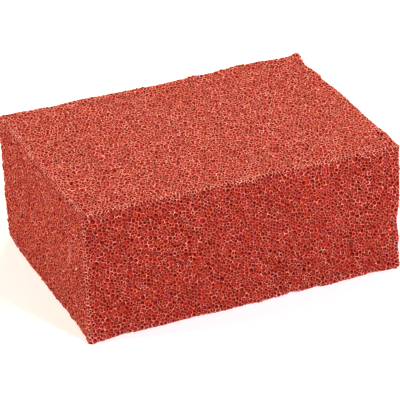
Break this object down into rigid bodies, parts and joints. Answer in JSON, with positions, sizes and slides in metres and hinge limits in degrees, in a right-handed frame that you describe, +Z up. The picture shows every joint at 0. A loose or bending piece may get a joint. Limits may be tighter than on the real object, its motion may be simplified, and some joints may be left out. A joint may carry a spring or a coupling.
{
  "type": "sponge rubber float block",
  "caption": "Rectangular block of coarse open-cell sponge rubber, held in the hand and wiped wet over grout, plaster or stucco to smooth or texture it.",
  "frame": {"origin": "on the underside, at the middle of the block's bounding box", "axes": "+X along the long side, +Y along the short side, +Z up from the underside to the top"},
  "size_m": [0.154, 0.1026, 0.0635],
  "materials": {
    "sponge_rubber": "coarse open-cell sponge, sawn faces"
  },
  "bodies": {
    "root": {"sponge_block": "sponge_rubber"}
  },
  "joints": []
}
